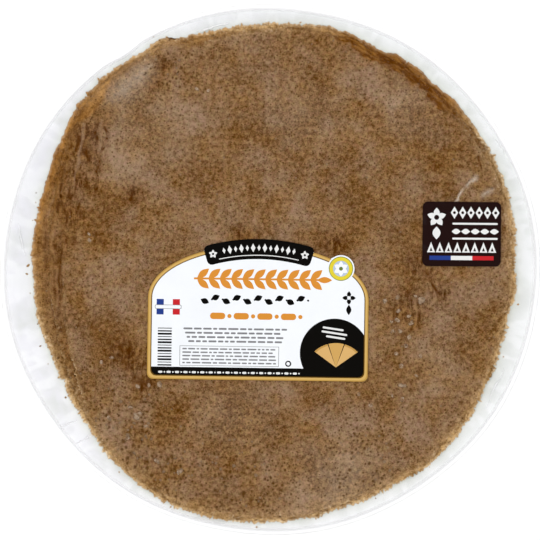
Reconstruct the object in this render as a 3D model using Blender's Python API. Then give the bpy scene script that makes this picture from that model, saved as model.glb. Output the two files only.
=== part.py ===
"""Three buckwheat galettes on a round white sheet, sealed between two clear films, with two labels.

The pack lies flat. +Z is up, the origin is the middle of its underside, +Y is the far side of the
pack as it lies before the eye, and lengths are in metres. From below: the bottom film, the backing
sheet, the bottom, middle and top galette, the top film and the labels stuck on that film.
"""

import math

import bmesh
import bpy

MM = 0.001

# Driving sizes of the wrap
RIM_HALF_WIDTH = 167.3 * MM
RIM_HALF_DEPTH = 164.4 * MM
RIM_WAVE = 0.35 * MM
RIM_NOTCH = 1.8 * MM
RIM_NOTCH_ANGLE = 124
SHEET_INSET = 1.6 * MM
WELD_WIDTH = 0.5 * MM

# Driving sizes of the stack: each swell of its outline is (order, size, direction in degrees)
STACK_RADIUS = 153.4 * MM
STACK_SWELLS = (
    (1, 1.6 * MM, 10),
    (2, 3.0 * MM, 95),
    (3, 2.4 * MM, 18),
    (4, 1.4 * MM, 50),
    (5, 0.5 * MM, 38),
    (6, 1.3 * MM, 11),
    (7, 0.5 * MM, 25),
)
RAGGED = 0.35 * MM
RAGGED_ORDERS = ((23, 1.0), (41, 0.8), (67, 0.6))

# How far each galette lies inside the one below: (reach, middle and half width in degrees)
EVEN_STEP = 1.4 * MM
MIDDLE_STEPS = ((9.5 * MM, 180, 52), (2.2 * MM, 48, 45), (1.6 * MM, 118, 30))
TOP_STEPS = ((6.5 * MM, 182, 46), (2.0 * MM, 52, 40), (1.8 * MM, 112, 34))

# Thicknesses, and the gap that pieces lying on each other keep
FILM = 0.25 * MM
SHEET = 0.45 * MM
GALETTE = 1.2 * MM
LABEL = 0.2 * MM
GAP = 0.3 * MM
EDGE_SLANT = 0.3 * MM

# The film over the stack: its clearance round an edge, its slope to the sheet and its creases
FILM_CLEARANCE = 1.4 * MM
FILM_SLOPE = 4.0 * MM
CREASE = 0.4 * MM
SINK = 0.5 * MM
SINK_SHARES = (0.2, 0.4, 0.6, 0.8, 0.93)

# Labels: middle, size and turn, clockwise seen from above
FRONT_MIDDLE = (-7.4 * MM, -24.3 * MM)
FRONT_HALF_WIDTH = 68.2 * MM
FRONT_BELOW = 44.0 * MM
FRONT_SIDE_TOP = 6.2 * MM
FRONT_ARCH = 33.5 * MM
FRONT_CORNER = 1.6 * MM
FRONT_TURN = 0.8
BANNER_HALF_WIDTH = 35.2 * MM
BANNER_TOP = 43.2 * MM
BANNER_DEPTH = 12.4 * MM
BANNER_BEND = 120.0 * MM
BANNER_CORNER = 3.0 * MM
SEAL_MIDDLE = (50.8 * MM, 25.6 * MM)
SEAL_RADIUS = 8.4 * MM
SIDE_MIDDLE = (118.4 * MM, 22.0 * MM)
SIDE_HALF_SIZE = (24.2 * MM, 19.9 * MM)
SIDE_CORNER = 3.0 * MM
SIDE_TURN = 0.5

# Heights, from the underside up
SHEET_BOTTOM = FILM + GAP
SHEET_TOP = SHEET_BOTTOM + SHEET
BOTTOM_GALETTE_BOTTOM = SHEET_TOP + GAP
MIDDLE_GALETTE_BOTTOM = BOTTOM_GALETTE_BOTTOM + GALETTE + GAP
TOP_GALETTE_BOTTOM = MIDDLE_GALETTE_BOTTOM + GALETTE + GAP
STACK_TOP = TOP_GALETTE_BOTTOM + GALETTE
LABEL_BOTTOM = STACK_TOP + GAP + FILM + GAP

# Steps round a turn: the film and sheet, the ragged rims of the galettes, and the labels
SMOOTH_STEPS = 120
RAGGED_STEPS = 240
FRONT_STEPS = 150
SIDE_STEPS = 60


def circle(steps):
    """The angles of one turn, in radians, anticlockwise from +X."""
    return [math.tau * step / steps for step in range(steps)]


def bump(angle, middle, half_width):
    """1 at the middle angle, falling smoothly to 0 at half_width degrees to either side."""
    away = abs((math.degrees(angle) - middle + 180) % 360 - 180)
    if away >= half_width:
        return 0.0
    return 0.5 + 0.5 * math.cos(math.pi * away / half_width)


def rim_radius(angle):
    """The outline of the sealed rim: an oval with a slight wave and one nick."""
    across = RIM_HALF_DEPTH * math.cos(angle)
    along = RIM_HALF_WIDTH * math.sin(angle)
    oval = RIM_HALF_WIDTH * RIM_HALF_DEPTH / math.hypot(across, along)
    return oval + RIM_WAVE * math.sin(8 * angle) - RIM_NOTCH * bump(angle, RIM_NOTCH_ANGLE, 6)


def sheet_radius(angle):
    """The backing sheet stops short of the weld between the films."""
    return rim_radius(angle) - SHEET_INSET


def bottom_radius(angle):
    """The bottom galette's outline: a hand-spread disc, a little out of round."""
    swell = 0.0
    for order, size, direction in STACK_SWELLS:
        swell += size * math.cos(order * (angle - math.radians(direction)))
    return STACK_RADIUS + swell


def middle_radius(angle):
    """The middle galette's outline, well inside the bottom one's on the left."""
    step = EVEN_STEP
    for reach, middle, half_width in MIDDLE_STEPS:
        step += reach * bump(angle, middle, half_width)
    return bottom_radius(angle) - step


def top_radius(angle):
    """The top galette's outline, well inside the middle one's on the left."""
    step = EVEN_STEP
    for reach, middle, half_width in TOP_STEPS:
        step += reach * bump(angle, middle, half_width)
    return middle_radius(angle) - step


def ragged(angle, phase):
    """The torn, lacy wander of a galette's rim. Each galette has its own phase."""
    wander = 0.0
    for order, share in RAGGED_ORDERS:
        wander += share * math.sin(order * (angle + phase))
    return RAGGED * wander


def in_rounded_box(x, y, half_width, half_height, corner):
    """True inside a box round the origin whose corners are rounded."""
    over_x = abs(x) - (half_width - corner)
    over_y = abs(y) - (half_height - corner)
    if over_x > 0 and over_y > 0:
        return math.hypot(over_x, over_y) <= corner
    return over_x <= corner and over_y <= corner


def in_side_label(x, y):
    """The side label is a rounded square."""
    return in_rounded_box(x, y, SIDE_HALF_SIZE[0], SIDE_HALF_SIZE[1], SIDE_CORNER)


def in_front_label(x, y):
    """The front label: an arched plate, a bowed banner across its top and a round seal."""
    side_middle = (FRONT_SIDE_TOP - FRONT_BELOW) / 2
    side_half = (FRONT_SIDE_TOP + FRONT_BELOW) / 2
    if y <= 0 and in_rounded_box(x, y - side_middle, FRONT_HALF_WIDTH, side_half, FRONT_CORNER):
        return True
    if 0 < y <= FRONT_SIDE_TOP and abs(x) <= FRONT_HALF_WIDTH:
        return True
    above = (y - FRONT_SIDE_TOP) / FRONT_ARCH
    if above > 0 and math.hypot(x / FRONT_HALF_WIDTH, above) <= 1:
        return True
    if math.dist((x, y), SEAL_MIDDLE) <= SEAL_RADIUS:
        return True
    bend_middle = BANNER_TOP - BANNER_BEND
    across = math.hypot(x, y - bend_middle) - (BANNER_BEND - BANNER_DEPTH / 2)
    along = math.atan2(x, y - bend_middle) * BANNER_BEND
    return in_rounded_box(along, across, BANNER_HALF_WIDTH, BANNER_DEPTH / 2, BANNER_CORNER)


def label_place(x, y, middle, turn):
    """Where a point of a label lies on the pack, for a label turned clockwise by turn degrees."""
    swing = math.radians(turn)
    placed_x = middle[0] + x * math.cos(swing) + y * math.sin(swing)
    placed_y = middle[1] - x * math.sin(swing) + y * math.cos(swing)
    return placed_x, placed_y


def open_share(x, y):
    """0 under the labels, rising to 1 where the stack is free of them."""
    share = 1.0
    for middle, half_width, half_height in (
        (FRONT_MIDDLE, FRONT_HALF_WIDTH, FRONT_BELOW),
        (SIDE_MIDDLE, SIDE_HALF_SIZE[0], SIDE_HALF_SIZE[1]),
    ):
        over_x = max(0.0, abs(x - middle[0]) - half_width)
        over_y = max(0.0, abs(y - middle[1]) - half_height)
        away = math.hypot(over_x, over_y) / (30 * MM)
        share = min(share, away)
    return share * share * (3 - 2 * share)


def sink(x, y):
    """How far the top of the stack lies below its full height, in long soft dips."""
    swell = math.sin(x / (14 * MM) + 2 * math.sin(y / (31 * MM)))
    cross = math.sin(y / (17 * MM) + 1.5 * math.sin(x / (27 * MM) + 1))
    return SINK * open_share(x, y) * (0.5 + 0.25 * swell + 0.25 * cross)


def crease(angle):
    """How far the film on the bare ring stands off the sheet, in folds that run outwards."""
    folds = math.sin(17 * angle + 2 * math.sin(3 * angle)) * math.sin(7 * angle + 1)
    return CREASE * max(0.0, folds)


def add_ring(bm, radius, height, steps):
    """Adds one closed ring of points. Its height is a number, or a function of x, y and angle."""
    ring = []
    for angle in circle(steps):
        reach = radius(angle)
        x = reach * math.cos(angle)
        y = reach * math.sin(angle)
        z = height(x, y, angle) if callable(height) else height
        ring.append(bm.verts.new((x, y, z)))
    return ring


def join_rings(bm, first, second):
    """Fills the band between two rings, the second with as many points or twice as many."""
    count = len(first)
    ratio = len(second) // count
    for step in range(count):
        here = first[step]
        after = first[(step + 1) % count]
        far = [second[(step * ratio + extra) % len(second)] for extra in range(ratio + 1)]
        if ratio == 1:
            bm.faces.new((here, far[0], far[1], after))
        else:
            bm.faces.new((here, far[0], far[1]))
            bm.faces.new((here, far[1], after))
            bm.faces.new((after, far[1], far[2]))


def close_ring(bm, ring, height):
    """Closes a ring with a fan of faces round a middle point."""
    middle = bm.verts.new((0, 0, height))
    for step, point in enumerate(ring):
        bm.faces.new((middle, point, ring[(step + 1) % len(ring)]))


def add_material(name, colour, roughness, alpha=1.0):
    """A plain Principled material."""
    material = bpy.data.materials.new(name)
    material.use_nodes = True
    shader = material.node_tree.nodes["Principled BSDF"]
    shader.inputs["Base Color"].default_value = (*colour, 1)
    shader.inputs["Roughness"].default_value = roughness
    shader.inputs["Alpha"].default_value = alpha
    material.diffuse_color = (*colour, alpha)
    return material


def add_piece(name, bm, material, parent):
    """Makes a named object of a finished mesh, faces out and flat shaded, in the pack."""
    bmesh.ops.recalc_face_normals(bm, faces=bm.faces)
    mesh = bpy.data.meshes.new(name)
    bm.to_mesh(mesh)
    bm.free()
    mesh.materials.append(material)
    piece = bpy.data.objects.new(name, mesh)
    piece.parent = parent
    bpy.context.collection.objects.link(piece)
    return piece


def add_plate(name, bottom, thickness, radius, steps, slant, material, parent):
    """A flat round piece: two closed rings, the upper one drawn in by the slant of the edge."""
    bm = bmesh.new()
    lower = add_ring(bm, radius, bottom, steps)
    upper = add_ring(bm, lambda angle: radius(angle) - slant, bottom + thickness, steps)
    close_ring(bm, lower, bottom)
    join_rings(bm, lower, upper)
    close_ring(bm, upper, bottom + thickness)
    return add_piece(name, bm, material, parent)


def add_bottom_film(material, parent):
    """The flat film under the sheet, out to the weld."""
    return add_plate("bottom_film", 0.0, FILM, rim_radius, SMOOTH_STEPS, 0.0, material, parent)


def add_backing_sheet(material, parent):
    """The round sheet of coated paper that carries the galettes."""
    return add_plate(
        "backing_sheet", SHEET_BOTTOM, SHEET, sheet_radius, SMOOTH_STEPS, 0.0, material, parent
    )


def add_lower_galette(name, bottom, radius, phase, material, parent):
    """One of the two galettes whose rims show beyond the one above."""

    def rim(angle):
        return radius(angle) + ragged(angle, phase)

    return add_plate(name, bottom, GALETTE, rim, RAGGED_STEPS, EDGE_SLANT, material, parent)


def add_top_galette(material, parent):
    """The galette on top, whose upper side dips softly between the labels."""

    def rim(angle):
        return top_radius(angle) + ragged(angle, 2.0)

    def surface(x, y, angle):
        return STACK_TOP - sink(x, y)

    bm = bmesh.new()
    rings = []
    for share in SINK_SHARES:
        rings.append(add_ring(bm, lambda angle: share * top_radius(angle), surface, SMOOTH_STEPS))
    rings.append(add_ring(bm, lambda angle: rim(angle) - EDGE_SLANT, surface, RAGGED_STEPS))
    rings.append(add_ring(bm, rim, TOP_GALETTE_BOTTOM, RAGGED_STEPS))
    close_ring(bm, rings[0], surface(0, 0, 0))
    for inner, outer in zip(rings, rings[1:]):
        join_rings(bm, inner, outer)
    close_ring(bm, rings[-1], TOP_GALETTE_BOTTOM)
    return add_piece("galette_top", bm, material, parent)


def film_rings(lift):
    """The rings of one side of the top film: (radius, height) from the middle outwards."""

    def over_stack(x, y, angle):
        return STACK_TOP + GAP - sink(x, y) + lift

    def on_sheet(x, y, angle):
        return SHEET_TOP + GAP + crease(angle) + lift

    def beyond(radius, reach):
        return lambda angle: radius(angle) + reach

    def share_of_top(share):
        return lambda angle: share * top_radius(angle)

    rings = [(share_of_top(share), over_stack) for share in SINK_SHARES]
    middle_height = MIDDLE_GALETTE_BOTTOM + GALETTE + GAP + lift
    bottom_height = BOTTOM_GALETTE_BOTTOM + GALETTE + GAP + lift
    rings.append((beyond(top_radius, FILM_CLEARANCE), over_stack))
    rings.append((beyond(middle_radius, FILM_CLEARANCE), middle_height))
    rings.append((beyond(bottom_radius, FILM_CLEARANCE), bottom_height))
    rings.append((beyond(bottom_radius, FILM_CLEARANCE + FILM_SLOPE), on_sheet))
    rings.append((beyond(rim_radius, WELD_WIDTH - SHEET_INSET), SHEET_TOP + GAP + lift))
    rings.append((beyond(rim_radius, -WELD_WIDTH), FILM + GAP + lift))
    rings.append((rim_radius, FILM + GAP + lift))
    return rings


def add_top_film(material, parent):
    """The film drawn down over the stack and on to the sheet, out to the weld."""
    bm = bmesh.new()
    sides = []
    for lift in (0.0, FILM):
        side = [add_ring(bm, radius, height, SMOOTH_STEPS) for radius, height in film_rings(lift)]
        close_ring(bm, side[0], STACK_TOP + GAP - sink(0, 0) + lift)
        for inner, outer in zip(side, side[1:]):
            join_rings(bm, inner, outer)
        sides.append(side)
    join_rings(bm, sides[0][-1], sides[1][-1])
    return add_piece("top_film", bm, material, parent)


def outline_reach(inside, angle, farthest):
    """How far an outline lies from its middle along one angle, found by halving."""
    near = 0.0
    far = farthest
    for _ in range(40):
        half = (near + far) / 2
        if inside(half * math.cos(angle), half * math.sin(angle)):
            near = half
        else:
            far = half
    return near


def add_label(name, inside, corners, middle, turn, steps, material, parent):
    """A thin label whose outline a rule gives. Angles to its corners are added to even steps."""
    angles = circle(steps) + [math.atan2(y, x) % math.tau for x, y in corners]
    bm = bmesh.new()
    lower = []
    for angle in sorted(angles):
        reach = outline_reach(inside, angle, 2 * FRONT_HALF_WIDTH)
        x, y = label_place(reach * math.cos(angle), reach * math.sin(angle), middle, turn)
        lower.append(bm.verts.new((x, y, LABEL_BOTTOM)))
    face = bm.faces.new(lower)
    raised = bmesh.ops.extrude_face_region(bm, geom=[face])["geom"]
    points = [item for item in raised if isinstance(item, bmesh.types.BMVert)]
    bmesh.ops.translate(bm, verts=points, vec=(0, 0, LABEL))
    return add_piece(name, bm, material, parent)


def box_corners(half_width, half_height, corner):
    """The eight points where the straight sides of a rounded box meet its corners."""
    points = []
    for side in (-1, 1):
        for end in (-1, 1):
            points.append((side * half_width, end * (half_height - corner)))
            points.append((side * (half_width - corner), end * half_height))
    return points


def add_front_label(material, parent):
    """The arched label over the near half of the pack."""
    lower_corners = box_corners(FRONT_HALF_WIDTH, FRONT_BELOW, FRONT_CORNER)
    corners = [point for point in lower_corners if point[1] < 0]
    steps = FRONT_STEPS
    return add_label(
        "front_label", in_front_label, corners, FRONT_MIDDLE, FRONT_TURN, steps, material, parent
    )


def add_side_label(material, parent):
    """The small dark label near the right rim of the stack."""
    corners = box_corners(SIDE_HALF_SIZE[0], SIDE_HALF_SIZE[1], SIDE_CORNER)
    steps = SIDE_STEPS
    return add_label(
        "side_label", in_side_label, corners, SIDE_MIDDLE, SIDE_TURN, steps, material, parent
    )


def build_pack():
    """Builds the whole pack, from the bottom film up."""
    for old in list(bpy.data.objects):
        bpy.data.objects.remove(old, do_unlink=True)
    pack = bpy.data.objects.new("pack", None)
    bpy.context.collection.objects.link(pack)
    film = add_material("clear_film", (0.93, 0.95, 0.96), 0.15, alpha=0.12)
    paper = add_material("white_paper", (0.86, 0.87, 0.89), 0.6)
    crust = add_material("buckwheat", (0.22, 0.12, 0.06), 0.75)
    rim_crust = add_material("buckwheat_rim", (0.15, 0.065, 0.02), 0.75)
    print_white = add_material("front_print", (0.9, 0.9, 0.9), 0.35)
    print_dark = add_material("side_print", (0.02, 0.008, 0.006), 0.35)
    add_bottom_film(film, pack)
    add_backing_sheet(paper, pack)
    add_lower_galette("galette_bottom", BOTTOM_GALETTE_BOTTOM, bottom_radius, 0.0, rim_crust, pack)
    add_lower_galette("galette_middle", MIDDLE_GALETTE_BOTTOM, middle_radius, 1.0, rim_crust, pack)
    add_top_galette(crust, pack)
    add_top_film(film, pack)
    add_front_label(print_white, pack)
    add_side_label(print_dark, pack)


build_pack()
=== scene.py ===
"""The looks of a flat round pack of three buckwheat galettes, sealed in clear film.

The sections follow the pack from the bottom up: the bottom film, the backing sheet, the three
galettes, the crumbs, the top film, the drops of damp and the two labels. The stage, the lights
and the camera come last. Lengths are in metres, +Z is up and +Y is the far side of the pack.
"""

import math

import bpy
import numpy as np
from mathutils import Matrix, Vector, noise
from mathutils.geometry import delaunay_2d_cdt


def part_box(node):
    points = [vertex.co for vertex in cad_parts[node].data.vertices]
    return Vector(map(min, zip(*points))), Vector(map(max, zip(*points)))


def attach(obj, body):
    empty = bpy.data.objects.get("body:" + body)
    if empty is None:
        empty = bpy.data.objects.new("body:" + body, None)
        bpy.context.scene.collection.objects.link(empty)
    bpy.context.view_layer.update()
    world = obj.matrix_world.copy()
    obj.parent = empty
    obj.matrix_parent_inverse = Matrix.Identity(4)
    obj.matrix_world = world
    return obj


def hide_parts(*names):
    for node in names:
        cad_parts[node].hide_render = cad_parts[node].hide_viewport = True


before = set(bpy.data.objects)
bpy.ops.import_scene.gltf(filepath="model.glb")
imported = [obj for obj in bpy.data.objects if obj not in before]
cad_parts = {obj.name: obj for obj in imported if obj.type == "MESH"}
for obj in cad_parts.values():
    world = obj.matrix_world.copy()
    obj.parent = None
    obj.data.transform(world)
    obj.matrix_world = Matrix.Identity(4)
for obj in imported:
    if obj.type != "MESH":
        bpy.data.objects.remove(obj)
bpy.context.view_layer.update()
MM = 0.001


# Bottom film
# The flat web of clear film under the sheet. It is drawn tight, lies on the surface that the pack
# rests on, and is welded to the top film all round its rim.

RIM_HALF_WIDTH = 167.3 * MM
RIM_HALF_DEPTH = 164.4 * MM
RIM_WAVE = 0.35 * MM
RIM_WAVES = 8
RIM_NOTCH = 1.8 * MM
RIM_NOTCH_ANGLE = 124
RIM_NOTCH_HALF_WIDTH = 6
FILM_THICKNESS = 0.06 * MM
BOTTOM_FILM_WAVE = 0.12 * MM
SMOOTH_BELOW = 50
WELD_HAZE = 0.92
FOLD_STRAY = 6
# The haze and the painted fold highlights turn from tan to white between these distances from
# the pack's middle
TAN_END = 148 * MM
WHITE_START = 153 * MM


def bump(angle, middle, half_width):
    """1 at the middle angle, falling smoothly to 0 at half_width degrees to either side."""
    away = np.abs((np.degrees(angle) - middle + 180) % 360 - 180)
    return np.where(away < half_width, 0.5 + 0.5 * np.cos(np.pi * away / half_width), 0.0)


def rim_radius(angle):
    """The outline of the sealed rim: an oval with a slight wave and one nick."""
    across = RIM_HALF_DEPTH * np.cos(angle)
    along = RIM_HALF_WIDTH * np.sin(angle)
    oval = RIM_HALF_WIDTH * RIM_HALF_DEPTH / np.hypot(across, along)
    nick = RIM_NOTCH * bump(angle, RIM_NOTCH_ANGLE, RIM_NOTCH_HALF_WIDTH)
    return oval + RIM_WAVE * np.sin(RIM_WAVES * angle) - nick


def uneven(points, octaves):
    """Noise at each point, from about -1 to 1."""
    return np.array([noise.fractal(Vector(point), 1.0, 2.0, octaves) for point in points])


def swell(places, size, octaves, seed):
    """Soft uneven noise at each place, with features of a given size."""
    return uneven(((x / size, y / size, seed) for x, y in places), octaves)


def polar(points):
    """Each point's angle and distance from the pack's middle."""
    return np.arctan2(points[:, 1], points[:, 0]), np.hypot(points[:, 0], points[:, 1])


def around(angle, reach):
    """The places at these angles and distances from the pack's middle."""
    return np.stack([reach * np.cos(angle), reach * np.sin(angle)], axis=1)


def read_points(piece):
    """A piece's points as an array."""
    mesh = piece.data
    points = np.empty(len(mesh.vertices) * 3)
    mesh.vertices.foreach_get("co", points)
    return points.reshape(-1, 3)


def write_points(piece, points):
    """Puts a piece's points at new places."""
    piece.data.vertices.foreach_set("co", np.asarray(points, dtype=float).ravel())
    piece.data.update()


def pick(*pieces):
    """Selects these pieces alone and makes the first of them active."""
    bpy.ops.object.select_all(action="DESELECT")
    for piece in pieces:
        piece.select_set(True)
    bpy.context.view_layer.objects.active = pieces[0]


def round_sheet(name, steps, band, band_rings):
    """A flat unit disc of quads: an outer band of rings, and a grid filling the middle.

    The band's width is a share of the radius. Its rings are extruded inwards from a circle.
    """
    bpy.ops.mesh.primitive_circle_add(vertices=steps, radius=1.0, fill_type="NOTHING")
    piece = bpy.context.object
    piece.name = name
    piece.data.name = name
    bpy.ops.object.mode_set(mode="EDIT")
    bpy.ops.mesh.select_all(action="SELECT")
    reach = 1.0
    for ring in range(band_rings):
        inner = 1.0 - band * (ring + 1) / band_rings
        share = inner / reach
        bpy.ops.mesh.extrude_edges_move()
        bpy.ops.transform.resize(value=(share, share, 1.0), center_override=(0, 0, 0))
        reach = inner
    bpy.ops.mesh.fill_grid(span=steps // 4, offset=0)
    bpy.ops.mesh.select_all(action="SELECT")
    bpy.ops.mesh.normals_make_consistent(inside=False)
    bpy.ops.object.mode_set(mode="OBJECT")
    if piece.data.polygons[0].normal.z < 0:
        piece.data.flip_normals()
    return piece


def thicken(piece, thickness):
    """Gives a sheet its wall, below the side that is modelled, and closes its edge."""
    wall = piece.modifiers.new("wall", "SOLIDIFY")
    wall.thickness = thickness
    wall.offset = -1.0
    pick(piece)
    bpy.ops.object.modifier_apply(modifier=wall.name)
    bpy.ops.object.shade_smooth_by_angle(angle=math.radians(SMOOTH_BELOW))


class Ink:
    """A value that a material works out at every point. Sums written on it add their nodes."""

    def __init__(self, tree, socket=None):
        self.tree = tree
        self.socket = socket

    def make(self, kind, sockets=None, output=0, **settings):
        """Adds a node of a kind: its settings first, then the values or links of its sockets."""
        node = self.tree.nodes.new(kind)
        for name, value in settings.items():
            setattr(node, name, value)
        for name, value in (sockets or {}).items():
            feed(node, name, value)
        return Ink(self.tree, node.outputs[output])

    def maths(self, operation, first, second=0.0, clamp=False):
        """One sum of two values."""
        sockets = {0: first, 1: second}
        return self.make("ShaderNodeMath", sockets, operation=operation, use_clamp=clamp)

    def __add__(self, other):
        return self.maths("ADD", self, other)

    def __radd__(self, other):
        return self.maths("ADD", other, self)

    def __sub__(self, other):
        return self.maths("SUBTRACT", self, other)

    def __rsub__(self, other):
        return self.maths("SUBTRACT", other, self)

    def __mul__(self, other):
        return self.maths("MULTIPLY", self, other)

    def __pow__(self, power):
        return self.maths("POWER", self, power)

    def __abs__(self):
        return self.maths("ABSOLUTE", self)

    def clamped(self):
        """The value held between 0 and 1."""
        return self.maths("ADD", self, 0.0, clamp=True)

    def between(self, low, high):
        """0 below low and 1 above high, with a smooth rise between them."""
        sockets = {"Value": self, "From Min": low, "From Max": high}
        return self.make("ShaderNodeMapRange", sockets, interpolation_type="SMOOTHSTEP")

    def mix(self, low, high, share, way="MIX"):
        """Two colours, mixed in some way and by a share."""
        low = low if isinstance(low, Ink) else (*low, 1)
        high = high if isinstance(high, Ink) else (*high, 1)
        sockets = {0: share, 6: low, 7: high}
        return self.make("ShaderNodeMix", sockets, 2, data_type="RGBA", blend_type=way)

    def blend(self, low, high):
        """The colour low where the value is 0 and high where it is 1."""
        return self.mix(low, high, self)

    def times(self, tint):
        """The colour, multiplied by another."""
        return self.mix(self, tint, 1.0, "MULTIPLY")

    def part(self, number):
        """One part of a place: 0 is how far east it lies, 1 how far north and 2 how high."""
        return self.make("ShaderNodeSeparateXYZ", {"Vector": self}, number)

    def grain(self, size, detail=2.0, roughness=0.5):
        """Noise with features of a given size, over a place. It is 0.5 on average."""
        sockets = {"Vector": self, "Scale": 1 / size, "Detail": detail, "Roughness": roughness}
        return self.make("ShaderNodeTexNoise", sockets)

    def relief(self, height, strength):
        """The surface's lean where a height, in metres, rises and falls."""
        sockets = {"Height": self, "Distance": height, "Strength": strength}
        return self.make("ShaderNodeBump", sockets)


def feed(node, name, value):
    """Sets a node's socket to a number or colour, or links it to a worked-out value."""
    if isinstance(value, Ink):
        value.tree.links.new(value.socket, node.inputs[name])
    else:
        node.inputs[name].default_value = value


def new_material(name):
    """A material, its shader and the place on the piece."""
    material = bpy.data.materials.new(name)
    material.use_nodes = True
    tree = material.node_tree
    return material, tree.nodes["Principled BSDF"], Ink(tree).make("ShaderNodeTexCoord", output=3)


def attribute(place, name):
    """A number stored on the piece's points, in a material."""
    return place.make("ShaderNodeAttribute", output=2, attribute_name=name)


def fold_highlights(place, folds, creases, fine):
    """Painted fold highlights, as haze: each by its two ends, its width in mm and a strength."""
    east, north = place.part(0), place.part(1)
    haze = 0.0
    for x0, y0, x1, y1, width, strength in folds:
        length = math.hypot(x1 - x0, y1 - y0)
        way = ((x1 - x0) / length, (y1 - y0) / length)
        from_east, from_north = east - x0 * MM, north - y0 * MM
        along = from_east * way[0] + from_north * way[1]
        stray = (creases - 0.5) * FOLD_STRAY * MM
        across = from_north * way[0] - from_east * way[1] + stray
        past = abs(along * (2 / length / MM) - 1.0)
        crest = (1.0 - abs(across) * (1 / width / MM)).clamped() * (1.0 - past**3).clamped()
        haze = haze + crest * crest * (fine + creases - 0.55) * strength
    return haze.clamped()


def film_material(name, haze_amount, folds=()):
    """Clear film: it lets everything through but for its gloss and a faint haze in its creases.

    The haze is given as the share of light that it holds back where a crease is sharpest. The
    weld is milky. Along the listed folds the haze paints their highlights. Haze and highlights
    are tan over the stack and white over the ring.
    """
    material, shader, place = new_material(name)
    creases = place.grain(9 * MM, 4.0, 0.6)
    fine = place.grain(1.6 * MM, 3.0, 0.6)
    ridges = (1.0 - abs(creases - 0.5) * 14.0).clamped()
    weld = attribute(place, "weld")
    haze = ridges * fine * haze_amount + weld * WELD_HAZE
    if folds:
        # Painted highlights along the listed folds, as milky crests
        haze = haze + fold_highlights(place, folds, creases, fine)
    facing = place.make("ShaderNodeLayerWeight", {"Blend": 0.5}, 1)
    gloss = 0.0015 + facing**5 * 0.3
    away = place.make("ShaderNodeVectorMath", {0: place}, 1, operation="LENGTH")
    # Haze and painted fold highlights: tan over the stack, white over the ring
    milk_and_highlight = away.between(TAN_END, WHITE_START).blend((0.82, 0.69, 0.55), (0.87, 0.87, 0.88))
    feed(shader, "Base Color", weld.blend(milk_and_highlight, (0.99, 0.99, 1)))
    feed(shader, "Metallic", place.maths("DIVIDE", gloss, gloss + haze))
    feed(shader, "Roughness", 0.06 + fine * 0.08)
    feed(shader, "Normal", (creases * 0.7 + fine * 0.3).relief(0.25 * MM, 0.35))
    clear = place.make("ShaderNodeBsdfTransparent")
    solid = Ink(place.tree, shader.outputs[0])
    share = (gloss + haze).clamped()
    mixed = place.make("ShaderNodeMixShader", {0: share, 1: clear, 2: solid})
    feed(place.tree.nodes["Material Output"], "Surface", mixed)
    return material


bottom_film = round_sheet("bottom_film_web", steps=360, band=0.12, band_rings=8)
angle, share = polar(read_points(bottom_film))
places = around(angle, share * rim_radius(angle))
lift = BOTTOM_FILM_WAVE * (1 + swell(places, 22 * MM, 2, 3.0))
write_points(bottom_film, np.column_stack([places, FILM_THICKNESS + np.clip(lift, 0, None)]))
thicken(bottom_film, FILM_THICKNESS)
bottom_film.data.materials.append(film_material("film_under", haze_amount=0.05))
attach(bottom_film, "root")
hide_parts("bottom_film")


# Backing sheet
# A round sheet of white coated paper, die-cut a little smaller than the welded rim. The galettes
# lie on it, and the film has drawn its bare ring into faint cockles.

SHEET_INSET = 1.6 * MM
COCKLE = 0.22 * MM
COCKLE_FADE = 6 * MM
SHEET_DROOP = 0.22 * MM
DROOP_WIDTH = 1.5 * MM
CONTACT_SHADE_WIDTH = 2.6 * MM
VERGE_WIDTH = 2.2 * MM
sheet_low, sheet_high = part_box("backing_sheet")

STACK_RADIUS = 153.4 * MM
# The stack's outline: how often it swells on its way round, how far and from which angle
STACK_SWELLS = (
    (1, 1.6 * MM, 10),
    (2, 3.0 * MM, 95),
    (3, 2.4 * MM, 18),
    (4, 1.4 * MM, 50),
    (5, 0.5 * MM, 38),
    (6, 1.3 * MM, 11),
    (7, 0.5 * MM, 25),
)
# Its low swellings above 0 and dents below 0: how far outwards, their angle and half width
STACK_BULGES = (
    (3.2 * MM, 115.5, 6),
    (-1.3 * MM, 112, 20),
    (-2.4 * MM, 64.5, 7),
    (2.5 * MM, 355, 8),
    (1.5 * MM, 309, 8),
    (1.3 * MM, 279, 9),
)


def bottom_radius(angle):
    """The bottom galette's outline: a hand-spread disc, a little out of round."""
    reach = np.full_like(angle, STACK_RADIUS)
    for order, size, direction in STACK_SWELLS:
        reach = reach + size * np.cos(order * (angle - math.radians(direction)))
    for size, middle, half_width in STACK_BULGES:
        reach = reach + size * bump(angle, middle, half_width)
    return reach


def pleats(angle, reach, along, outwards, seed):
    """Ridges that run outwards over the bare ring, from 0 to about 1."""
    turn = STACK_RADIUS / along
    points = (
        (turn * math.cos(a), turn * math.sin(a), seed + r / outwards) for a, r in zip(angle, reach)
    )
    return np.clip(1 - 2.6 * np.abs(uneven(points, 3)), 0, 1) ** 2


def store(piece, **numbers):
    """Stores numbers under their names, one a point, for the piece's material to read."""
    for name, values in numbers.items():
        layer = piece.data.attributes.new(name, "FLOAT", "POINT")
        layer.data.foreach_set("value", np.asarray(values, dtype=float))


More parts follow.
